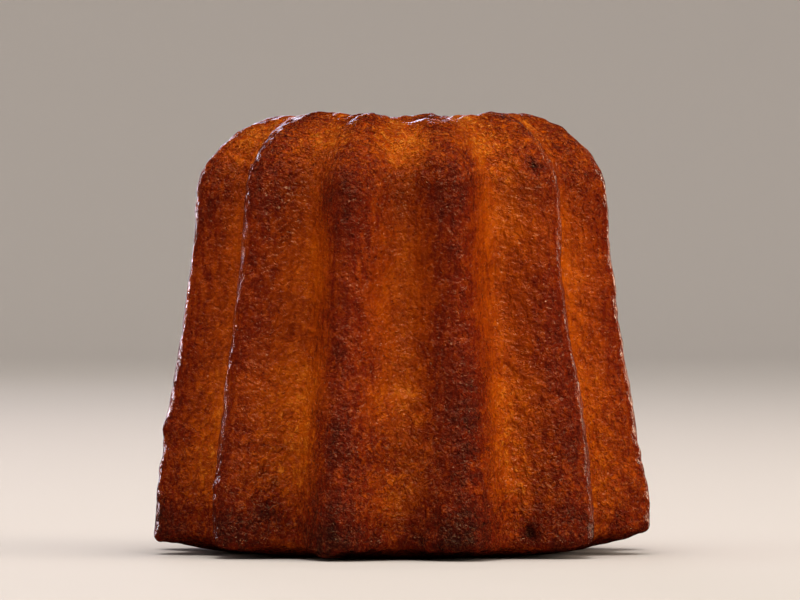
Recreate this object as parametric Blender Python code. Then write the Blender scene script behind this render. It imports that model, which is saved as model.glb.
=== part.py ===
"""A canele: a small fluted cake of vanilla and rum batter, baked dark in a copper mould.

It is one solid. The mould gives it twelve rounded ridges, a wall that flares towards
the foot, a rounded shoulder and a shallow dimple in the crown. At the mould's mouth the
batter sets as an uneven lip, which turns under to a small flat base.

Metres, +Z up. The origin is on the surface it stands on, on the axis of the mould.
Angles run from -Y, the front, towards +X.
"""

import math
from collections import namedtuple

import bmesh
import bpy
from mathutils import Vector, noise

MM = 0.001

# The mould: crest radii are measured on the ridges, its own ring of twelve.
RIDGES = 12
FLUTE_DEPTH = 0.15              # share of the crest radius that a flute cuts in
HEIGHT = 47.55 * MM
SHOULDER_HEIGHT = 39.5 * MM
SHOULDER_RADIUS = 22.78 * MM
SHOULDER_ROUNDING = 1.60       # exponent of its curve: 2 is an ellipse, 1 a chamfer
RIM_RADIUS = 13.5 * MM

# The wall: a straight taper, a flare below the waist and a slight tuck at the lip.
TAPER = 0.07
FLARE = 2.30 * MM
FLARE_TOP = 34.0 * MM
FLARE_LENGTH = 30.0 * MM
TUCK = 0.2 * MM
TUCK_TOP = 5.5 * MM
TUCK_LENGTH = 4.0 * MM

# The crown: a dimple inside the rim, where the flutes die out. The rim is never quite
# level: it stands higher (+) or lower (-) here and there, as angle, spread and rise.
DIMPLE_DEPTH = 2.8 * MM
DIMPLE_SLOPE = 9.0 * MM
RIM_NOTCH = 0.15 * MM           # how far a flute lowers the rim
RIM_FLUTE = 0.5                 # share of a flute's depth that is left at the rim
FLUTE_END_RADIUS = 7.0 * MM
RIM_RISES = (
    (-37.0, 8.0, 0.40 * MM),
    (-12.0, 4.5, 0.25 * MM),
    (4.0, 9.0, -0.70 * MM),
    (20.0, 7.0, -0.60 * MM),
    (40.0, 5.0, -0.15 * MM),
    (167.0, 7.0, 0.30 * MM),
    (-120.0, 15.0, -0.25 * MM),
)

# The foot: a flat base, an underside that rises from it, and the lip's rounded edge.
BASE_RADIUS = 16.5 * MM
LIP_ROUNDING = 0.8 * MM
LIP_LIFT = 1.2 * MM             # lowest edge of the lip above the base, on average
LIP_RAGGEDNESS = 0.3 * MM
LIP_FADE = 5.0 * MM             # height over which the wall evens out above the lip
# Where the lip stands higher (+), and the drip that ran over the mould's mouth (-), as
# angle, spread and rise.
LIP_RISES = (
    (90.0, 32.0, 1.7 * MM),
    (-67.0, 10.0, 0.6 * MM),
    (-18.0, 4.2, -0.85 * MM),
    (150.0, 18.0, 0.4 * MM),
    (-150.0, 24.0, 0.5 * MM),
)

# The crust: swells and hollows of two sizes, and single lumps (+) and dents (-) as
# angle, height, spread and depth.
SWELL_SIZE = 19.0 * MM
SWELL = 0.35 * MM
RIPPLE_SIZE = 7.0 * MM
RIPPLE = 0.20 * MM
LUMPS = (
    (-75.0, 13.6 * MM, 1.5 * MM, 0.38 * MM),
    (-75.0, 11.2 * MM, 1.0 * MM, -0.14 * MM),
    (-75.0, 16.3 * MM, 1.0 * MM, -0.14 * MM),
    (76.0, 31.8 * MM, 1.0 * MM, -0.18 * MM),
    (-47.0, 6.5 * MM, 1.8 * MM, 0.25 * MM),
    (128.0, 12.0 * MM, 2.2 * MM, 0.35 * MM),
    (196.0, 25.0 * MM, 2.4 * MM, -0.30 * MM),
    (163.0, 8.0 * MM, 1.9 * MM, 0.30 * MM),
    (-140.0, 30.0 * MM, 2.2 * MM, -0.25 * MM),
)

# The mesh: columns of faces round the cake, and rings of them up it.
COLUMNS = 120
UNDERSIDE_RINGS = 4
LIP_RINGS = 3
WALL_RINGS = 20
SHOULDER_RINGS = 9
CROWN_RINGS = 6
CROWN_CENTRE_RADIUS = 2.0 * MM

CRUST_COLOUR = (0.230, 0.052, 0.009, 1.0)
CRUST_ROUGHNESS = 0.42

# One ring of the solid: crest radius, height, and how much of the flute's depth, of the
# lip's lift and of the rim's rise it takes.
Ring = namedtuple("Ring", "radius height flute lift rim")


def ease(share):
    """Go smoothly from 0 to 1 as the share does."""
    share = min(max(share, 0.0), 1.0)
    return share * share * (3.0 - 2.0 * share)


def bell(distance, spread):
    """Go smoothly from 1 at no distance towards 0 past the spread."""
    return math.exp(-(distance / spread) ** 2)


def turn_between(angle, other):
    """The shorter way round between two angles, in degrees."""
    return (angle - other + 180.0) % 360.0 - 180.0


def groove(angle):
    """1 in the middle of a flute, 0 on the crest of a ridge."""
    return 0.5 + 0.5 * math.cos(RIDGES * math.radians(angle))


def wall_radius(height):
    """Crest radius of the wall below the shoulder."""
    taper = TAPER * (SHOULDER_HEIGHT - height)
    flare = FLARE * ease((FLARE_TOP - height) / FLARE_LENGTH)
    tuck = TUCK * ease((TUCK_TOP - height) / TUCK_LENGTH)
    return SHOULDER_RADIUS + taper + flare - tuck


def lip_lift(angle):
    """How far the lip's edge stays above the base's plane."""
    rises = sum(rise * bell(turn_between(angle, centre), spread) for centre, spread, rise in LIP_RISES)
    turn = math.radians(angle)
    around = Vector((math.sin(turn), -math.cos(turn), 0.35))
    ragged = noise.noise(around * 3.5) + 0.7 * noise.noise(around * 9.0)
    return LIP_LIFT + rises + LIP_RAGGEDNESS * ragged


def rim_rise(angle):
    """How far the rim stands from its usual height: lower in a flute, and uneven all round."""
    rises = sum(rise * bell(turn_between(angle, centre), spread) for centre, spread, rise in RIM_RISES)
    return rises - RIM_NOTCH * groove(angle)


def foot_rings():
    """The underside, from beside the flat base to the lip, then the lip's round edge."""
    edge_radius = wall_radius(LIP_ROUNDING) - LIP_ROUNDING
    rings = []
    for step in range(1, UNDERSIDE_RINGS + 1):
        share = step / UNDERSIDE_RINGS
        radius = BASE_RADIUS + share * (edge_radius - BASE_RADIUS)
        rings.append(Ring(radius, 0.0, share, share ** 1.5, 0.0))
    for step in range(1, LIP_RINGS + 1):
        turn = math.radians(90.0 * step / LIP_RINGS)
        radius = edge_radius + LIP_ROUNDING * math.sin(turn)
        height = LIP_ROUNDING * (1.0 - math.cos(turn))
        rings.append(Ring(radius, height, 1.0, 1.0, 0.0))
    return rings


def wall_rings():
    """The fluted wall, from the lip to the shoulder."""
    rings = []
    for step in range(1, WALL_RINGS + 1):
        share = step / WALL_RINGS
        height = LIP_ROUNDING + share * (SHOULDER_HEIGHT - LIP_ROUNDING)
        fade = 1.0 - ease((height - LIP_ROUNDING) / LIP_FADE)
        rings.append(Ring(wall_radius(height), height, 1.0, fade, 0.0))
    return rings


def shoulder_rings():
    """The rounded shoulder, where the flutes grow shallow and start to notch the rim."""
    power = 2.0 / SHOULDER_ROUNDING
    width = SHOULDER_RADIUS - RIM_RADIUS
    rise = HEIGHT - SHOULDER_HEIGHT
    rings = []
    for step in range(1, SHOULDER_RINGS + 1):
        share = step / SHOULDER_RINGS
        turn = math.radians(90.0 * share)
        radius = RIM_RADIUS + width * abs(math.cos(turn)) ** power
        height = SHOULDER_HEIGHT + rise * math.sin(turn) ** power
        flute = 1.0 - (1.0 - RIM_FLUTE) * ease(share)
        rings.append(Ring(radius, height, flute, 0.0, ease(share)))
    return rings


def crown_rings():
    """The crown, from inside the rim down into the dimple."""
    rings = []
    for step in range(1, CROWN_RINGS + 1):
        share = step / CROWN_RINGS
        radius = RIM_RADIUS + share * (CROWN_CENTRE_RADIUS - RIM_RADIUS)
        sunk = ease((RIM_RADIUS - radius) / DIMPLE_SLOPE)
        left = ease((radius - FLUTE_END_RADIUS) / (RIM_RADIUS - FLUTE_END_RADIUS))
        rings.append(Ring(radius, HEIGHT - DIMPLE_DEPTH * sunk, RIM_FLUTE * left, 0.0, left))
    return rings


def lay_ring(verts, ring):
    """Put one ring of vertices where the mould and the lip hold them."""
    for vert in verts:
        angle = math.degrees(math.atan2(vert.co.x, -vert.co.y))
        turn = math.radians(angle)
        radius = ring.radius * (1.0 - FLUTE_DEPTH * ring.flute * groove(angle))
        height = ring.height + ring.lift * lip_lift(angle) + ring.rim * rim_rise(angle)
        vert.co = Vector((radius * math.sin(turn), -radius * math.cos(turn), height))


def spot(angle, height):
    """The point of the wall or the shoulder at an angle and a height."""
    above = max(height - SHOULDER_HEIGHT, 0.0) / (HEIGHT - SHOULDER_HEIGHT)
    inward = 1.0 - (1.0 - above ** SHOULDER_ROUNDING) ** (1.0 / SHOULDER_ROUNDING)
    radius = wall_radius(min(height, SHOULDER_HEIGHT)) - inward * (SHOULDER_RADIUS - RIM_RADIUS)
    radius *= 1.0 - FLUTE_DEPTH * groove(angle)
    turn = math.radians(angle)
    return Vector((radius * math.sin(turn), -radius * math.cos(turn), height))


def crust_swell(point):
    """How far the crust stands out from, or falls short of, the mould's own shape."""
    swell = SWELL * noise.noise(point / SWELL_SIZE + Vector((7.0, 3.4, 5.3)))
    swell += RIPPLE * noise.noise(point / RIPPLE_SIZE + Vector((7.7, 7.9, 6.5)))
    for angle, height, spread, depth in LUMPS:
        swell += depth * bell((point - spot(angle, height)).length, spread)
    return swell


def bake(mesh):
    """Move the crust in or out along its normals, from nothing at the flat base."""
    mesh.normal_update()
    moves = [vert.normal * crust_swell(vert.co) * ease(vert.co.z / LIP_LIFT) for vert in mesh.verts]
    for vert, move in zip(mesh.verts, moves):
        vert.co += move


def cake_mesh():
    """Raise the cake ring by ring from its flat base, then close the crown."""
    cake = bmesh.new()
    bmesh.ops.create_circle(cake, cap_ends=True, cap_tris=True, segments=COLUMNS, radius=BASE_RADIUS)
    edges = [edge for edge in cake.edges if edge.is_boundary]
    for ring in foot_rings() + wall_rings() + shoulder_rings() + crown_rings():
        grown = bmesh.ops.extrude_edge_only(cake, edges=edges)["geom"]
        lay_ring([part for part in grown if isinstance(part, bmesh.types.BMVert)], ring)
        edges = [part for part in grown if isinstance(part, bmesh.types.BMEdge) and part.is_boundary]
    crown = bmesh.ops.edgeloop_fill(cake, edges=edges)["faces"]
    bmesh.ops.poke(cake, faces=crown)
    bmesh.ops.recalc_face_normals(cake, faces=cake.faces)
    bake(cake)
    bmesh.ops.triangulate(cake, faces=cake.faces)
    mesh = bpy.data.meshes.new("canele")
    cake.to_mesh(mesh)
    cake.free()
    mesh.shade_smooth()
    return mesh


def crust_material():
    """Caramelised crust: deep amber brown with a waxy sheen."""
    material = bpy.data.materials.new("caramelised crust")
    material.use_nodes = True
    surface = material.node_tree.nodes["Principled BSDF"]
    surface.inputs["Base Color"].default_value = CRUST_COLOUR
    surface.inputs["Roughness"].default_value = CRUST_ROUGHNESS
    surface.inputs["Metallic"].default_value = 0.0
    return material


for old in list(bpy.data.objects):
    bpy.data.objects.remove(old, do_unlink=True)

canele = bpy.data.objects.new("canele", cake_mesh())
canele.data.materials.append(crust_material())
bpy.context.collection.objects.link(canele)
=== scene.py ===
import math
import random
from collections import namedtuple

import bmesh
import bpy
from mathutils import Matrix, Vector, kdtree, noise


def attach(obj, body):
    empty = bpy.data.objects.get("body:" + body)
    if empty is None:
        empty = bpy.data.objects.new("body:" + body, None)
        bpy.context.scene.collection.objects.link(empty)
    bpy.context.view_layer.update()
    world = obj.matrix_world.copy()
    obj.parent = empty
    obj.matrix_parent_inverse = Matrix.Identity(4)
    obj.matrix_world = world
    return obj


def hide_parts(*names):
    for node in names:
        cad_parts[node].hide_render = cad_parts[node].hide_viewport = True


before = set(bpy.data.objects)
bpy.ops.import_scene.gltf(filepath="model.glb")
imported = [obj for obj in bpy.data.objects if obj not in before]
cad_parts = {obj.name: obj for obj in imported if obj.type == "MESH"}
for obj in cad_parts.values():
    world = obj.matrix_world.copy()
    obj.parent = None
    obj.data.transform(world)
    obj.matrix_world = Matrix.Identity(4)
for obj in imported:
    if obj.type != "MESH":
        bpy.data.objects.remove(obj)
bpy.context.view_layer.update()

MM = 0.001


# ---------------------------------------------------------------- the camera
# A long lens, far back and just below the height of the cake's shoulder, so that the
# sides of the cake stay nearly parallel and the table is seen almost edge on.

CAMERA_DISTANCE = 850 * MM
CAMERA_HEIGHT = 34 * MM
CAMERA_ASIDE = -0.2 * MM
CAMERA_DIP = 0.447              # degrees below level
LENS_LENGTH = 352               # mm, on a sensor 36 mm wide

lens = bpy.data.cameras.new("camera")
lens.lens = LENS_LENGTH
lens.sensor_width = 36
lens.clip_start = 10 * MM
lens.clip_end = 20
camera = bpy.data.objects.new("camera", lens)
camera.location = (CAMERA_ASIDE, -CAMERA_DISTANCE, CAMERA_HEIGHT)
camera.rotation_euler = (math.radians(90 - CAMERA_DIP), 0, 0)
bpy.context.scene.collection.objects.link(camera)
bpy.context.scene.camera = camera
bpy.context.scene.view_settings.view_transform = "Standard"


# ------------------------------------------------------------------ the cake
# One cake of vanilla and rum batter, baked upside down in a fluted copper mould that was
# greased with wax and butter. Its crust is caramelised sugar over a moist crumb: amber in
# the flutes, brown on the ridges, where the copper was hottest, and nearly burnt at the lip.

RIDGES = 12
FLUTE_DEPTH = 0.15              # share of the crest radius that a flute cuts in
HEIGHT = 47.55 * MM
SHOULDER_HEIGHT = 39.5 * MM
SHOULDER_RADIUS = 22.78 * MM
SHOULDER_ROUNDING = 1.60
RIM_RADIUS = 13.5 * MM
TAPER = 0.07
FLARE = 2.30 * MM
FLARE_TOP = 34.0 * MM
FLARE_LENGTH = 30.0 * MM
TUCK = 0.2 * MM
TUCK_TOP = 5.5 * MM
TUCK_LENGTH = 4.0 * MM
DIMPLE_DEPTH = 2.8 * MM
DIMPLE_SLOPE = 9.0 * MM
RIM_NOTCH = 0.15 * MM           # how far a flute lowers the rim
RIM_FLUTE = 0.5                 # share of a flute's depth that is left at the rim
FLUTE_END_RADIUS = 7.0 * MM
# Where the rim stands higher (+) or lower (-), as angle, spread and rise.
RIM_RISES = (
    (-37.0, 8.0, 0.40 * MM),
    (-12.0, 4.5, 0.25 * MM),
    (4.0, 9.0, -0.70 * MM),
    (20.0, 7.0, -0.60 * MM),
    (40.0, 5.0, -0.15 * MM),
    (167.0, 7.0, 0.30 * MM),
    (-120.0, 15.0, -0.25 * MM),
)
BASE_RADIUS = 16.5 * MM
LIP_ROUNDING = 0.8 * MM
LIP_LIFT = 1.2 * MM             # lowest edge of the lip above the base, on average
LIP_RAGGEDNESS = 0.3 * MM
LIP_FADE = 5.0 * MM             # height over which the wall evens out above the lip
LIP_CRUMBLE = 0.25 * MM
LIP_CRUMB_SIZE = 0.9 * MM
# Where the lip stands higher (+), and the drip that ran over the mould's mouth (-), as
# angle, spread and rise. Angles run from -Y, the front, towards +X.
LIP_RISES = (
    (90.0, 32.0, 1.7 * MM),
    (-67.0, 10.0, 0.6 * MM),
    (-18.0, 4.2, -0.85 * MM),
    (150.0, 18.0, 0.4 * MM),
    (-150.0, 24.0, 0.5 * MM),
)
SWELL_SIZE = 19.0 * MM
SWELL = 0.35 * MM
RIPPLE_SIZE = 7.0 * MM
RIPPLE = 0.20 * MM
# Single lumps (+) and dents (-), as angle, height, spread and depth.
LUMPS = (
    (-75.0, 13.6 * MM, 1.5 * MM, 0.38 * MM),
    (-75.0, 11.2 * MM, 1.0 * MM, -0.14 * MM),
    (-75.0, 16.3 * MM, 1.0 * MM, -0.14 * MM),
    (76.0, 31.8 * MM, 1.0 * MM, -0.18 * MM),
    (-47.0, 6.5 * MM, 1.8 * MM, 0.25 * MM),
    (128.0, 12.0 * MM, 2.2 * MM, 0.35 * MM),
    (196.0, 25.0 * MM, 2.4 * MM, -0.30 * MM),
    (163.0, 8.0 * MM, 1.9 * MM, 0.30 * MM),
    (-140.0, 30.0 * MM, 2.2 * MM, -0.25 * MM),
)

# The mesh: columns of faces round the cake, and rings of them up it.
COLUMNS = 444
BASE_RINGS = 18
UNDERSIDE_RINGS = 20
LIP_RINGS = 6
WALL_RINGS = 104
SHOULDER_RINGS = 30
CROWN_RINGS = 32
CENTRE_RADIUS = 1.5 * MM

# One ring: crest radius, height, and how much of the flute's depth, of the lip's lift and
# of the rim's rise it takes.
Ring = namedtuple("Ring", "radius height flute lift rim")


def ease(share):
    """Go smoothly from 0 to 1 as the share does."""
    share = min(max(share, 0.0), 1.0)
    return share * share * (3.0 - 2.0 * share)


def bell(distance, spread):
    """Go smoothly from 1 at no distance towards 0 past the spread."""
    return math.exp(-(distance / spread) ** 2)


def turn_between(angle, other):
    """The shorter way round between two angles, in degrees."""
    return (angle - other + 180.0) % 360.0 - 180.0


def groove(angle):
    """1 in the middle of a flute, 0 on the crest of a ridge."""
    return 0.5 + 0.5 * math.cos(RIDGES * math.radians(angle))


def wall_radius(height):
    """Crest radius of the wall below the shoulder."""
    taper = TAPER * (SHOULDER_HEIGHT - height)
    flare = FLARE * ease((FLARE_TOP - height) / FLARE_LENGTH)
    tuck = TUCK * ease((TUCK_TOP - height) / TUCK_LENGTH)
    return SHOULDER_RADIUS + taper + flare - tuck


def lip_lift(angle):
    """How far the lip's edge stays above the base's plane."""
    rises = sum(rise * bell(turn_between(angle, centre), spread) for centre, spread, rise in LIP_RISES)
    turn = math.radians(angle)
    around = Vector((math.sin(turn), -math.cos(turn), 0.35))
    ragged = noise.noise(around * 3.5) + 0.7 * noise.noise(around * 9.0)
    crumbled = noise.noise(around * wall_radius(0.0) / LIP_CRUMB_SIZE)
    return LIP_LIFT + rises + LIP_RAGGEDNESS * ragged + LIP_CRUMBLE * crumbled


def rim_rise(angle):
    """How far the rim stands from its usual height: lower in a flute, and uneven all round."""
    rises = sum(rise * bell(turn_between(angle, centre), spread) for centre, spread, rise in RIM_RISES)
    return rises - RIM_NOTCH * groove(angle)


def base_rings():
    """The flat round that it stands on."""
    rings = []
    for step in range(1, BASE_RINGS + 1):
        radius = CENTRE_RADIUS + (BASE_RADIUS - CENTRE_RADIUS) * step / BASE_RINGS
        rings.append(Ring(radius, 0.0, 0.0, 0.0, 0.0))
    return rings


def foot_rings():
    """The underside, from beside the flat base to the lip, then the lip's round edge."""
    edge_radius = wall_radius(LIP_ROUNDING) - LIP_ROUNDING
    rings = []
    for step in range(1, UNDERSIDE_RINGS + 1):
        share = step / UNDERSIDE_RINGS
        radius = BASE_RADIUS + share * (edge_radius - BASE_RADIUS)
        rings.append(Ring(radius, 0.0, share, share ** 1.5, 0.0))
    for step in range(1, LIP_RINGS + 1):
        turn = math.radians(90.0 * step / LIP_RINGS)
        radius = edge_radius + LIP_ROUNDING * math.sin(turn)
        height = LIP_ROUNDING * (1.0 - math.cos(turn))
        rings.append(Ring(radius, height, 1.0, 1.0, 0.0))
    return rings


def wall_rings():
    """The fluted wall, from the lip to the shoulder."""
    rings = []
    for step in range(1, WALL_RINGS + 1):
        share = step / WALL_RINGS
        height = LIP_ROUNDING + share * (SHOULDER_HEIGHT - LIP_ROUNDING)
        fade = 1.0 - ease((height - LIP_ROUNDING) / LIP_FADE)
        rings.append(Ring(wall_radius(height), height, 1.0, fade, 0.0))
    return rings


def shoulder_rings():
    """The rounded shoulder, where the flutes grow shallow and start to notch the rim."""
    power = 2.0 / SHOULDER_ROUNDING
    width = SHOULDER_RADIUS - RIM_RADIUS
    rise = HEIGHT - SHOULDER_HEIGHT
    rings = []
    for step in range(1, SHOULDER_RINGS + 1):
        share = step / SHOULDER_RINGS
        turn = math.radians(90.0 * share)
        radius = RIM_RADIUS + width * abs(math.cos(turn)) ** power
        height = SHOULDER_HEIGHT + rise * math.sin(turn) ** power
        flute = 1.0 - (1.0 - RIM_FLUTE) * ease(share)
        rings.append(Ring(radius, height, flute, 0.0, ease(share)))
    return rings


def crown_rings():
    """The crown, from inside the rim down into the dimple."""
    rings = []
    for step in range(1, CROWN_RINGS + 1):
        share = step / CROWN_RINGS
        radius = RIM_RADIUS + share * (CENTRE_RADIUS - RIM_RADIUS)
        sunk = ease((RIM_RADIUS - radius) / DIMPLE_SLOPE)
        left = ease((radius - FLUTE_END_RADIUS) / (RIM_RADIUS - FLUTE_END_RADIUS))
        rings.append(Ring(radius, HEIGHT - DIMPLE_DEPTH * sunk, RIM_FLUTE * left, 0.0, left))
    return rings


def lay_ring(verts, ring):
    """Put one ring of vertices where the mould and the lip hold them."""
    for vert in verts:
        angle = math.degrees(math.atan2(vert.co.x, -vert.co.y))
        turn = math.radians(angle)
        radius = ring.radius * (1.0 - FLUTE_DEPTH * ring.flute * groove(angle))
        height = ring.height + ring.lift * lip_lift(angle) + ring.rim * rim_rise(angle)
        vert.co = Vector((radius * math.sin(turn), -radius * math.cos(turn), height))


def spot(angle, height):
    """The point of the wall or the shoulder at an angle and a height."""
    above = max(height - SHOULDER_HEIGHT, 0.0) / (HEIGHT - SHOULDER_HEIGHT)
    inward = 1.0 - (1.0 - above ** SHOULDER_ROUNDING) ** (1.0 / SHOULDER_ROUNDING)
    radius = wall_radius(min(height, SHOULDER_HEIGHT)) - inward * (SHOULDER_RADIUS - RIM_RADIUS)
    radius *= 1.0 - FLUTE_DEPTH * groove(angle)
    turn = math.radians(angle)
    return Vector((radius * math.sin(turn), -radius * math.cos(turn), height))


def crust_swell(point):
    """How far the crust stands out from, or falls short of, the mould's own shape."""
    swell = SWELL * noise.noise(point / SWELL_SIZE + Vector((7.0, 3.4, 5.3)))
    swell += RIPPLE * noise.noise(point / RIPPLE_SIZE + Vector((7.7, 7.9, 6.5)))
    for angle, height, spread, depth in LUMPS:
        swell += depth * bell((point - spot(angle, height)).length, spread)
    return swell


# Fine relief, rougher near the lip and on the shoulder: waves of two sizes; steps where the
# batter rose by stages, as angle, spread, height and step; bubbles' pits; blisters; and
# single cavities, as angle, height, spread and depth.
WAVE_SIZE = 3.1 * MM
WAVE = 0.11 * MM
RIDGELET_SIZE = 1.15 * MM
RIDGELET = 0.17 * MM
ROUGH_FOOT = 15.0 * MM
ROUGH_SHOULDER = 7.0 * MM
WALL_COARSENESS = 0.8
FOOT_COARSENESS = 0.32          # more than the wall's
SHOULDER_COARSENESS = 0.8       # more than the wall's
WALL_FLAKING = 0.15
RIDGE_FLAKING = 0.4
FLUTE_FLAKING = 1.0
FLAKED_HEIGHT = 9.0 * MM
FLAKED_SPREAD = 10.0 * MM
TERRACES = (
    (42.0, 32.0, 18.9 * MM, 0.10 * MM),
    (30.0, 34.0, 8.2 * MM, 0.13 * MM),
    (-160.0, 40.0, 13.0 * MM, 0.12 * MM),
)
TERRACE_EDGE = 0.8 * MM
TERRACE_WANDER = 0.9 * MM
TERRACE_BEND = 6.0 * MM
MARK_REACH = 2.2                # spreads from its centre at which a round mark ends
MARKS_SEED = 12
PITS = 280
PIT_SPREADS = (0.26 * MM, 0.60 * MM)
PIT_DEPTHS = (0.05 * MM, 0.24 * MM)
BLISTERS = 420
BLISTER_SPREADS = (0.6 * MM, 1.6 * MM)
BLISTER_HEIGHTS = (0.03 * MM, 0.12 * MM)
CAVITIES = (
    (34.5, 2.7 * MM, 0.60 * MM, 0.55 * MM),
    (3.6, 15.9 * MM, 0.42 * MM, 0.22 * MM),
    (41.5, 41.9 * MM, 0.50 * MM, 0.20 * MM),
    (38.8, 29.4 * MM, 0.30 * MM, 0.18 * MM),
    (33.0, 24.4 * MM, 0.30 * MM, 0.18 * MM),
    (-35.7, 4.7 * MM, 0.80 * MM, 0.20 * MM),
    (5.0, 2.4 * MM, 0.70 * MM, 0.35 * MM),
    (17.0, 8.6 * MM, 0.70 * MM, 0.20 * MM),
    (141.0, 5.5 * MM, 0.75 * MM, 0.45 * MM),
    (-118.0, 3.4 * MM, 0.65 * MM, 0.50 * MM),
    (-171.0, 21.0 * MM, 0.50 * MM, 0.30 * MM),
)


def coarseness(height):
    """How coarse the grain is: less on the smooth wall than near the lip and the shoulder."""
    foot = FOOT_COARSENESS * bell(height, ROUGH_FOOT)
    return WALL_COARSENESS + foot + SHOULDER_COARSENESS * bell(height - HEIGHT, ROUGH_SHOULDER)


def flaking(height, flute):
    """How much of the crust is flaked, and so lighter, partly as painted highlight: most low in the flutes
    and at the top of the shoulder.
    """
    low = RIDGE_FLAKING + (FLUTE_FLAKING - RIDGE_FLAKING) * flute
    low *= bell(height - FLAKED_HEIGHT, FLAKED_SPREAD)
    return WALL_FLAKING + low + bell(height - HEIGHT, ROUGH_SHOULDER)


def fine_relief(point, angle):
    """The crust's own small waves and steps, finer than the mould's shape."""
    relief = WAVE * noise.noise(point / WAVE_SIZE + Vector((1.9, 7.3, 4.4)))
    relief += coarseness(point.z) * RIDGELET * noise.noise(point / RIDGELET_SIZE + Vector((8.6, 2.1, 6.7)))
    for centre, spread, height, step in TERRACES:
        beside = bell(turn_between(angle, centre), spread)
        wander = TERRACE_WANDER * noise.noise(point / TERRACE_BEND)
        relief += step * beside * (0.5 - ease(0.5 + (point.z - height - wander) / TERRACE_EDGE))
    return relief


def press_mark(tree, centre, spread, height, rise):
    """Add one round mark to the rise of each vertex near its centre."""
    for _, index, distance in tree.find_range(centre, MARK_REACH * spread):
        rise[index] = rise.get(index, 0.0) + height * bell(distance, spread)


def scatter_marks(mesh, tree, marks, spreads, heights, draw):
    """Add round marks, mostly small ones, at random places spread evenly over the mesh."""
    rise = {}
    while marks:
        centre = mesh.verts[draw.randrange(len(mesh.verts))].co
        if draw.random() * SHOULDER_RADIUS > centre.xy.length:
            continue
        size = draw.random() ** 3
        spread = spreads[0] + size * (spreads[1] - spreads[0])
        height = heights[0] + size * (heights[1] - heights[0])
        press_mark(tree, centre, spread, height, rise)
        marks -= 1
    return rise


cake = bmesh.new()
bmesh.ops.create_circle(cake, cap_ends=True, cap_tris=True, segments=COLUMNS, radius=CENTRE_RADIUS)
edges = [edge for edge in cake.edges if edge.is_boundary]
for ring in base_rings() + foot_rings() + wall_rings() + shoulder_rings() + crown_rings():
    grown = bmesh.ops.extrude_edge_only(cake, edges=edges)["geom"]
    lay_ring([part for part in grown if isinstance(part, bmesh.types.BMVert)], ring)
    edges = [part for part in grown if isinstance(part, bmesh.types.BMEdge) and part.is_boundary]
crown = bmesh.ops.edgeloop_fill(cake, edges=edges)["faces"]
bmesh.ops.poke(cake, faces=crown)
bmesh.ops.recalc_face_normals(cake, faces=cake.faces)
cake.normal_update()
cake.verts.ensure_lookup_table()
cake.verts.index_update()

tree = kdtree.KDTree(len(cake.verts))
for vert in cake.verts:
    tree.insert(vert.co, vert.index)
tree.balance()
draw = random.Random(MARKS_SEED)
pits = scatter_marks(cake, tree, PITS, PIT_SPREADS, PIT_DEPTHS, draw)
blisters = scatter_marks(cake, tree, BLISTERS, BLISTER_SPREADS, BLISTER_HEIGHTS, draw)
for angle, height, spread, depth in CAVITIES:
    press_mark(tree, spot(angle, height), spread, depth, pits)
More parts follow.
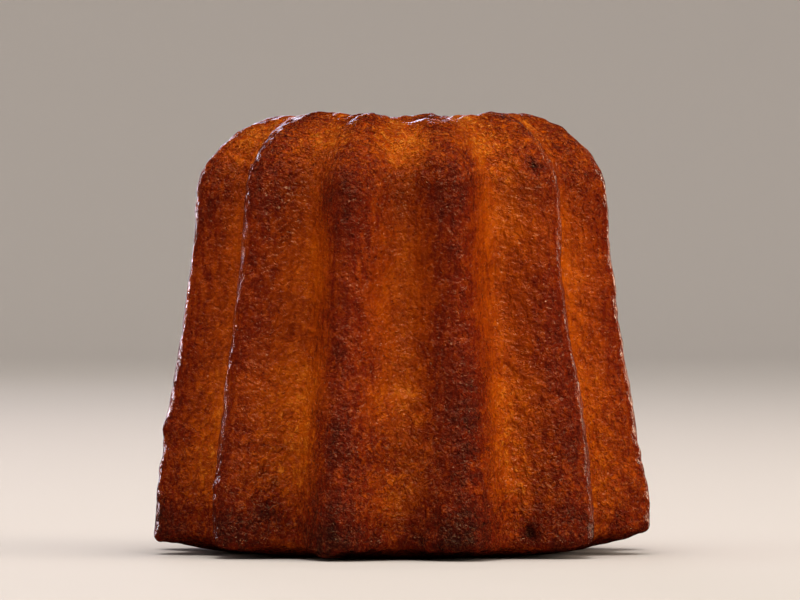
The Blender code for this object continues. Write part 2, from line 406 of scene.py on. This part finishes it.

# Browning: 0 is gold and 1 is burnt. The ridges lay against the hot copper and the flutes
# stood off it. Bands run round the cake, as height, spread and browning on the ridges and in
# the flutes; the top one's paleness is painted highlight. Stains and painted light are single
# patches, as angle, height, spread and browning: three over cavities are painted shade, and
# six pale ones, four on the shoulder and two in the flutes, are painted highlight.
FLUTE_BROWNING = 0.435
RIDGE_BROWNING = 0.72
BANDS = (
    (1.5 * MM, 4.0 * MM, 0.16, 0.22),
    (13.0 * MM, 3.5 * MM, 0.07, 0.0),
    (17.5 * MM, 2.2 * MM, 0.0, -0.08),
    (28.0 * MM, 5.0 * MM, -0.04, 0.03),
    (40.5 * MM, 2.2 * MM, 0.0, 0.07),
    # This band pales the top of the shoulder: painted highlight where it faces the light above.
    (45.5 * MM, 2.8 * MM, -0.08, -0.08),
)
CROWN_BROWNING = 0.24
CROWN_BAND = 9.0 * MM
# Pits are darker the deeper they are: painted shade in them.
PIT_SHADE = 0.5 / MM
PATCH_SIZE = 8.0 * MM
PATCH_BROWNING = 0.14
STAINS_AND_PAINTED_LIGHT = (
    # The next three darken cavities of the crust: painted shade in them.
    (41.5, 41.9 * MM, 0.9 * MM, 0.35),
    (-35.7, 4.7 * MM, 1.4 * MM, 0.20),
    (34.0, 3.0 * MM, 1.2 * MM, 0.20),
    (12.0, 36.5 * MM, 4.0 * MM, 0.10),
    (7.0, 38.0 * MM, 2.6 * MM, 0.15),
    # Paler on the ridge at the shoulder: painted highlight where it faces the light above.
    (-15.0, 41.0 * MM, 3.0 * MM, -0.08),
    (-20.0, 36.0 * MM, 4.5 * MM, 0.05),
    (34.0, 37.0 * MM, 6.0 * MM, -0.10),
    (24.0, 39.6 * MM, 1.8 * MM, 0.10),
    # The next three are paler patches on the shoulder: painted highlight where it faces the light above.
    (25.0, 44.0 * MM, 2.6 * MM, -0.16),
    (-2.0, 42.3 * MM, 2.6 * MM, -0.09),
    (42.0, 43.5 * MM, 3.2 * MM, -0.14),
    (60.0, 43.0 * MM, 3.5 * MM, 0.08),
    (-52.0, 43.0 * MM, 3.0 * MM, 0.10),
    (-14.0, 31.5 * MM, 2.5 * MM, -0.09),
    (-50.0, 30.0 * MM, 8.0 * MM, -0.08),
    (66.0, 30.0 * MM, 9.0 * MM, -0.07),
    (47.0, 27.0 * MM, 4.0 * MM, 0.07),
    (-43.0, 22.5 * MM, 2.6 * MM, 0.13),
    # The next two are paler patches in the flutes: painted highlight where their hollows face the light.
    (0.0, 18.3 * MM, 2.6 * MM, -0.20),
    (33.0, 18.5 * MM, 3.6 * MM, -0.10),
    (16.0, 14.0 * MM, 2.5 * MM, 0.07),
    (-12.0, 13.0 * MM, 3.0 * MM, 0.09),
    (-37.0, 14.5 * MM, 5.8 * MM, -0.22),
    (-67.0, 13.0 * MM, 4.5 * MM, -0.11),
    (66.0, 9.0 * MM, 6.0 * MM, -0.14),
    (32.0, 7.0 * MM, 3.5 * MM, 0.03),
    (2.0, 3.2 * MM, 2.0 * MM, 0.17),
    (-5.0, 6.0 * MM, 2.2 * MM, -0.11),
    (-41.0, 7.0 * MM, 2.0 * MM, -0.09),
    (50.0, 2.4 * MM, 2.2 * MM, 0.14),
    (-46.0, 2.2 * MM, 2.2 * MM, 0.10),
    (-25.0, 5.0 * MM, 3.5 * MM, 0.05),
)


def browning_at(point, angle):
    """How brown the crust is at a point, before its fine grain, with painted highlight on the shoulder and in
    two flutes and painted shade over three cavities.
    """
    flute = groove(angle)
    if point.z > SHOULDER_HEIGHT:
        kept = ease((point.xy.length - FLUTE_END_RADIUS) / (RIM_RADIUS - FLUTE_END_RADIUS))
        flute = 0.5 + (flute - 0.5) * kept
    brown = RIDGE_BROWNING + (FLUTE_BROWNING - RIDGE_BROWNING) * flute
    for height, spread, on_ridge, in_flute in BANDS:
        brown += (on_ridge + (in_flute - on_ridge) * flute) * bell(point.z - height, spread)
    if point.z > SHOULDER_HEIGHT:
        brown += CROWN_BROWNING * bell(point.xy.length, CROWN_BAND)
    brown += PATCH_BROWNING * noise.noise(point / PATCH_SIZE + Vector((2.2, 5.9, 3.1)))
    # Stains, painted shade over cavities, and painted highlights on the shoulder and in the flutes.
    for centre, height, spread, stain_and_light in STAINS_AND_PAINTED_LIGHT:
        brown += stain_and_light * bell((point - spot(centre, height)).length, spread)
    return brown


browning = cake.verts.layers.float.new("browning")
coarse = cake.verts.layers.float.new("coarseness")
flaked = cake.verts.layers.float.new("flaking")
# Each point of the crust carries its browning, with painted shade in its pits and cavities and
# painted highlight on the shoulder and in two flutes, how coarse its grain is and how far it is
# flaked, and its material reads all three.
moves = []
for vert in cake.verts:
    angle = math.degrees(math.atan2(vert.co.x, -vert.co.y))
    pit = pits.get(vert.index, 0.0)
    relief = crust_swell(vert.co) + fine_relief(vert.co, angle) + blisters.get(vert.index, 0.0) - pit
    moves.append(vert.normal * relief * ease(vert.co.z / LIP_LIFT))
    # Pits darken by their depth: painted shade.
    vert[browning] = browning_at(vert.co, angle) + PIT_SHADE * pit
    vert[coarse] = coarseness(vert.co.z)
    vert[flaked] = flaking(vert.co.z, groove(angle))
for vert, move in zip(cake.verts, moves):
    vert.co += move

mesh = bpy.data.meshes.new("canele_crust")
cake.to_mesh(mesh)
cake.free()
mesh.shade_smooth()
crust = bpy.data.objects.new("canele_crust", mesh)
bpy.context.scene.collection.objects.link(crust)


def linear(code):
    """A colour written as sRGB hex, in the linear numbers that shaders take."""
    parts = [int(code[start:start + 2], 16) / 255 for start in (1, 3, 5)]
    return [part / 12.92 if part <= 0.04045 else ((part + 0.055) / 1.055) ** 2.4 for part in parts] + [1.0]


def add_node(tree, kind, settings=None, inputs=None):
    """Add a shader node: its settings, and for each input a value or the socket it is linked from."""
    node = tree.nodes.new(kind)
    for name, value in (settings or {}).items():
        setattr(node, name, value)
    for name, value in (inputs or {}).items():
        if isinstance(value, bpy.types.NodeSocket):
            tree.links.new(value, node.inputs[name])
        else:
            node.inputs[name].default_value = value
    return node


# Caramelised crust: a thin brittle layer of browned sugar and wax, with a low gloss, grained
# like leather at every size from blotch to speck. Fine wrinkles catch the light, and flakes,
# most of them low in the flutes and at the top of the shoulder, stand out a little and are
# lighter, partly paler crust and partly painted highlight on their raised faces. Pores are
# darker, some grains have pale tops that are painted glints, and faint streaks run up the wall.
GRAIN_LARGEST = 2.8 * MM
GRAIN_SIZES = 4.1               # each size half the one before
GRAIN_BROWNING = 0.74
GRAIN_ROUGHNESS = 0.9           # how strong each size is beside the one before
GRAIN_DEPTH = 0.85 * MM
WRINKLE_SIZE = 0.8 * MM
WRINKLE_TWIST = 0.6
STREAK_WIDTH = 0.55 * MM
STREAK_LENGTH = 2.6 * MM
STREAK_BROWNING = 0.34
FLECK_SIZE = 0.28 * MM
FLECK_TWIST = 0.8
# Flecks are lighter and paler: painted glints on raised grain tops.
FLECK_LIGHTENING = -0.15
FLECK_PALENESS = 0.06
FLAKE_SIZE = 0.70 * MM
FLAKE_TWIST = 1.2
FLAKE_SHARE = 0.3               # of the surface, on average
# Flakes are lighter, partly paler crust and partly painted highlight on their raised faces.
FLAKE_LIGHTENING = -0.20
PORE_SIZE = 0.38 * MM
PORE_BROWNING = 0.12
# How much of the relief's depth each layer gives, inwards, or outwards where it is negative.
GRAIN_RELIEF = 0.5
WRINKLE_RELIEF = 0.85
PORE_RELIEF = 0.25
FLECK_RELIEF = -0.10
FLAKE_RELIEF = -0.25
# The levels of each noise between which its specks go from none to full.
FLECK_LEVELS = (0.46, 0.78)
FLAKE_LEVELS = (0.49, 0.62)
PORE_LEVELS = (0.62, 0.80)
# The layers are different cuts of the same noise, so that they don't line up.
WRINKLE_CUT, FLECK_CUT, FLAKE_CUT, PORE_CUT = 1.0, 3.0, 5.0, 8.0
# The pale tint that the flecks take: painted glint colour.
GLINT_TINT = "#DE945C"
CARAMEL = (
    (0.0, "#D8761A"), (0.25, "#B54D02"), (0.45, "#953602"),
    (0.67, "#6A1903"), (0.85, "#4C1106"), (1.0, "#330E08"),
)

caramel = bpy.data.materials.new("caramelised crust")
caramel.use_nodes = True
nodes = caramel.node_tree
nodes.nodes.clear()
place = add_node(nodes, "ShaderNodeTexCoord").outputs["Object"]
brown = add_node(nodes, "ShaderNodeAttribute", {"attribute_name": "browning"}).outputs["Fac"]
grain = add_node(nodes, "ShaderNodeTexNoise", inputs={
    "Vector": place, "Scale": 1 / GRAIN_LARGEST, "Detail": GRAIN_SIZES,
    "Roughness": GRAIN_ROUGHNESS}).outputs["Fac"]
fleck = add_node(nodes, "ShaderNodeTexNoise", {"noise_dimensions": "4D"}, {
    "Vector": place, "W": FLECK_CUT, "Scale": 1 / FLECK_SIZE, "Detail": 1.0,
    "Distortion": FLECK_TWIST}).outputs["Fac"]
fleck = add_node(nodes, "ShaderNodeMapRange", {"interpolation_type": "SMOOTHSTEP"}, {
    "Value": fleck, "From Min": FLECK_LEVELS[0], "From Max": FLECK_LEVELS[1]}).outputs["Result"]
flake = add_node(nodes, "ShaderNodeTexNoise", {"noise_dimensions": "4D"}, {
    "Vector": place, "W": FLAKE_CUT, "Scale": 1 / FLAKE_SIZE, "Detail": 2.0,
    "Distortion": FLAKE_TWIST}).outputs["Fac"]
flake = add_node(nodes, "ShaderNodeMapRange", {"interpolation_type": "SMOOTHSTEP"}, {
    "Value": flake, "From Min": FLAKE_LEVELS[0], "From Max": FLAKE_LEVELS[1]}).outputs["Result"]
flake = add_node(nodes, "ShaderNodeMath", {"operation": "SUBTRACT"}, {0: flake, 1: FLAKE_SHARE}).outputs[0]
flaked_here = add_node(nodes, "ShaderNodeAttribute", {"attribute_name": "flaking"}).outputs["Fac"]
flake = add_node(nodes, "ShaderNodeMath", {"operation": "MULTIPLY"}, {0: flake, 1: flaked_here}).outputs[0]
pore = add_node(nodes, "ShaderNodeTexNoise", {"noise_dimensions": "4D"}, {
    "Vector": place, "W": PORE_CUT, "Scale": 1 / PORE_SIZE, "Detail": 1.0}).outputs["Fac"]
pore = add_node(nodes, "ShaderNodeMapRange", {"interpolation_type": "SMOOTHSTEP"}, {
    "Value": pore, "From Min": PORE_LEVELS[0], "From Max": PORE_LEVELS[1]}).outputs["Result"]
along = add_node(nodes, "ShaderNodeMapping", inputs={
    "Vector": place, "Scale": (1.0, 1.0, STREAK_WIDTH / STREAK_LENGTH)}).outputs["Vector"]
streak = add_node(nodes, "ShaderNodeTexNoise", inputs={
    "Vector": along, "Scale": 1 / STREAK_WIDTH, "Detail": 1.0}).outputs["Fac"]
coarse_grain = add_node(nodes, "ShaderNodeAttribute", {"attribute_name": "coarseness"}).outputs["Fac"]
for _ in range(2):              # flecks go with the square of the coarseness
    fleck = add_node(nodes, "ShaderNodeMath", {"operation": "MULTIPLY"},
                     {0: fleck, 1: coarse_grain}).outputs[0]
blotch = add_node(nodes, "ShaderNodeMath", {"operation": "SUBTRACT"}, {0: grain, 1: 0.5}).outputs[0]
blotch = add_node(nodes, "ShaderNodeMath", {"operation": "MULTIPLY"}, {0: blotch, 1: coarse_grain}).outputs[0]
shade = add_node(nodes, "ShaderNodeMath", {"operation": "MULTIPLY_ADD"},
                 {0: blotch, 1: GRAIN_BROWNING, 2: brown}).outputs[0]
shade = add_node(nodes, "ShaderNodeMath", {"operation": "MULTIPLY_ADD"},
                 {0: streak, 1: STREAK_BROWNING, 2: shade}).outputs[0]
shade = add_node(nodes, "ShaderNodeMath", {"operation": "MULTIPLY_ADD"},
                 {0: pore, 1: PORE_BROWNING, 2: shade}).outputs[0]
# Flecks lighten the crust: painted glints on raised grain tops.
shade = add_node(nodes, "ShaderNodeMath", {"operation": "MULTIPLY_ADD"},
                 {0: fleck, 1: FLECK_LIGHTENING, 2: shade}).outputs[0]
# Flakes lighten the crust: partly paler crust, partly painted highlight on their raised faces.
shade = add_node(nodes, "ShaderNodeMath", {"operation": "MULTIPLY_ADD"},
                 {0: flake, 1: FLAKE_LIGHTENING, 2: shade}).outputs[0]
shade = add_node(nodes, "ShaderNodeMath", {"operation": "SUBTRACT"},
                 {0: shade, 1: 0.5 * STREAK_BROWNING}).outputs[0]
ramp = add_node(nodes, "ShaderNodeValToRGB", inputs={"Fac": shade})
stops = ramp.color_ramp.elements
stops[0].position, stops[0].color = CARAMEL[0][0], linear(CARAMEL[0][1])
stops[1].position, stops[1].color = CARAMEL[-1][0], linear(CARAMEL[-1][1])
for position, code in CARAMEL[1:-1]:
    stops.new(position).color = linear(code)
# Flecks are mixed towards a pale tint: painted glints.
paleness = add_node(nodes, "ShaderNodeMath", {"operation": "MULTIPLY"},
                    {0: fleck, 1: FLECK_PALENESS}).outputs[0]
colour = add_node(nodes, "ShaderNodeMix", {"data_type": "RGBA"}, {
    0: paleness, 6: ramp.outputs["Color"], 7: linear(GLINT_TINT)}).outputs[2]
wrinkle = add_node(nodes, "ShaderNodeTexNoise", {"noise_dimensions": "4D"}, {
    "Vector": place, "W": WRINKLE_CUT, "Scale": 1 / WRINKLE_SIZE, "Detail": 1.3,
    "Distortion": WRINKLE_TWIST}).outputs["Fac"]
height = add_node(nodes, "ShaderNodeMath", {"operation": "MULTIPLY"}, {0: grain, 1: GRAIN_RELIEF}).outputs[0]
height = add_node(nodes, "ShaderNodeMath", {"operation": "MULTIPLY_ADD"},
                  {0: wrinkle, 1: WRINKLE_RELIEF, 2: height}).outputs[0]
height = add_node(nodes, "ShaderNodeMath", {"operation": "MULTIPLY_ADD"},
                  {0: pore, 1: PORE_RELIEF, 2: height}).outputs[0]
height = add_node(nodes, "ShaderNodeMath", {"operation": "MULTIPLY_ADD"},
                  {0: fleck, 1: FLECK_RELIEF, 2: height}).outputs[0]
height = add_node(nodes, "ShaderNodeMath", {"operation": "MULTIPLY_ADD"},
                  {0: flake, 1: FLAKE_RELIEF, 2: height}).outputs[0]
height = add_node(nodes, "ShaderNodeMath", {"operation": "MULTIPLY"},
                  {0: coarse_grain, 1: height}).outputs[0]
bump = add_node(nodes, "ShaderNodeBump", {"invert": True}, {
    "Height": height, "Strength": 1.0, "Distance": GRAIN_DEPTH})
surface = add_node(nodes, "ShaderNodeBsdfPrincipled", inputs={
    "Base Color": colour, "Roughness": 0.22, "IOR": 1.45, "Specular IOR Level": 0.16,
    "Normal": bump.outputs["Normal"],
    "Subsurface Weight": 0.10, "Subsurface Scale": 0.6 * MM, "Subsurface Radius": (1.0, 0.3, 0.1)})
output = add_node(nodes, "ShaderNodeOutputMaterial", inputs={"Surface": surface.outputs["BSDF"]})
crust.data.materials.append(caramel)

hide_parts("canele")
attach(crust, "root")


# --------------------------------------------------------- the floor and the lights
# A seamless pale dish of matt card, which is floor and backdrop in one, under soft boxes.
# Pale things all round would put a milky veil on the dark crust, so the dish, the room and
# the three soft boxes aren't seen in its gloss. Two small warm lamps are seen only there, as
# the glints on its wrinkles, and three small ones behind the cake draw its edges.

DISH_RADIUS = 2.2
DISH_CURVE = 0.8
DISH_WALL = 2.4
DISH_STEPS = 128
DISH_CURVE_STEPS = 12
CARD_COLOUR = "#B5ACA3"
ROOM_COLOUR = "#E6E8EC"
ROOM_STRENGTH = 1.92

dish = bmesh.new()
rim = [dish.verts.new((0, 0, 0)), dish.verts.new((DISH_RADIUS - DISH_CURVE, 0, 0))]
for step in range(1, DISH_CURVE_STEPS + 1):
    turn = math.radians(90 * step / DISH_CURVE_STEPS)
    rim.append(dish.verts.new((DISH_RADIUS - DISH_CURVE + DISH_CURVE * math.sin(turn), 0,
                               DISH_CURVE - DISH_CURVE * math.cos(turn))))
rim.append(dish.verts.new((DISH_RADIUS, 0, DISH_WALL)))
outline = [dish.edges.new(pair) for pair in zip(rim, rim[1:])]
bmesh.ops.spin(dish, geom=rim + outline, cent=(0, 0, 0), axis=(0, 0, 1), angle=math.tau,
               steps=DISH_STEPS, use_merge=True)
bmesh.ops.remove_doubles(dish, verts=dish.verts, dist=0.1 * MM)
bmesh.ops.recalc_face_normals(dish, faces=dish.faces)
mesh = bpy.data.meshes.new("floor")
dish.to_mesh(mesh)
dish.free()
mesh.shade_smooth()
floor = bpy.data.objects.new("floor", mesh)
bpy.context.scene.collection.objects.link(floor)
card = bpy.data.materials.new("pale card")
card.use_nodes = True
card.node_tree.nodes["Principled BSDF"].inputs["Base Color"].default_value = linear(CARD_COLOUR)
card.node_tree.nodes["Principled BSDF"].inputs["Roughness"].default_value = 0.8
card.node_tree.nodes["Principled BSDF"].inputs["Specular IOR Level"].default_value = 0.1
floor.data.materials.append(card)
floor.visible_glossy = False


def add_light(name, azimuth, elevation, distance, size, power, code, spread=120):
    """A square light at an angle round the cake and one above level, facing its middle."""
    light = bpy.data.lights.new(name, "AREA")
    light.shape = "SQUARE"
    light.size = size
    light.energy = power
    light.spread = math.radians(spread)
    light.color = linear(code)[:3]
    lamp = bpy.data.objects.new(name, light)
    side = math.radians(azimuth)
    up = math.radians(elevation)
    middle = Vector((0, 0, HEIGHT / 2))
    away = Vector((math.sin(side) * math.cos(up), -math.cos(side) * math.cos(up), math.sin(up)))
    lamp.location = middle + distance * away
    lamp.rotation_euler = away.to_track_quat("Z", "Y").to_euler()
    lamp.visible_camera = False
    bpy.context.scene.collection.objects.link(lamp)
    return lamp


soft = [
    add_light("key", 70, 22, 1.2, 0.8, 3.9, "#FFF6EA"),
    add_light("left fill", -70, 22, 1.2, 0.8, 0.5, "#FFFFFF"),
    add_light("top", 0, 85, 1.2, 0.8, 5.8, "#FFFFFF"),
]
for lamp in soft:
    lamp.visible_glossy = False
sparkle = [
    add_light("sparkle right", 60, 65, 1.2, 0.15, 6.5, "#FFCC90"),
    add_light("sparkle left", -60, 62, 1.2, 0.15, 2.4, "#FFCC90"),
]
for lamp in sparkle:
    lamp.visible_diffuse = False
add_light("window", -151, 6, 1.2, 0.15, 0.27, "#FFE4EC", 60)
add_light("right edge", 150, 4, 1.3, 0.25, 0.22, "#FFD8B8", 60)
add_light("back", -172, 14, 1.4, 0.3, 0.2, "#F0EAFF", 60)

world = bpy.data.worlds.new("room")
world.use_nodes = True
world.node_tree.nodes["Background"].inputs["Color"].default_value = linear(ROOM_COLOUR)
world.node_tree.nodes["Background"].inputs["Strength"].default_value = ROOM_STRENGTH
bpy.context.scene.world = world
world.cycles_visibility.glossy = False
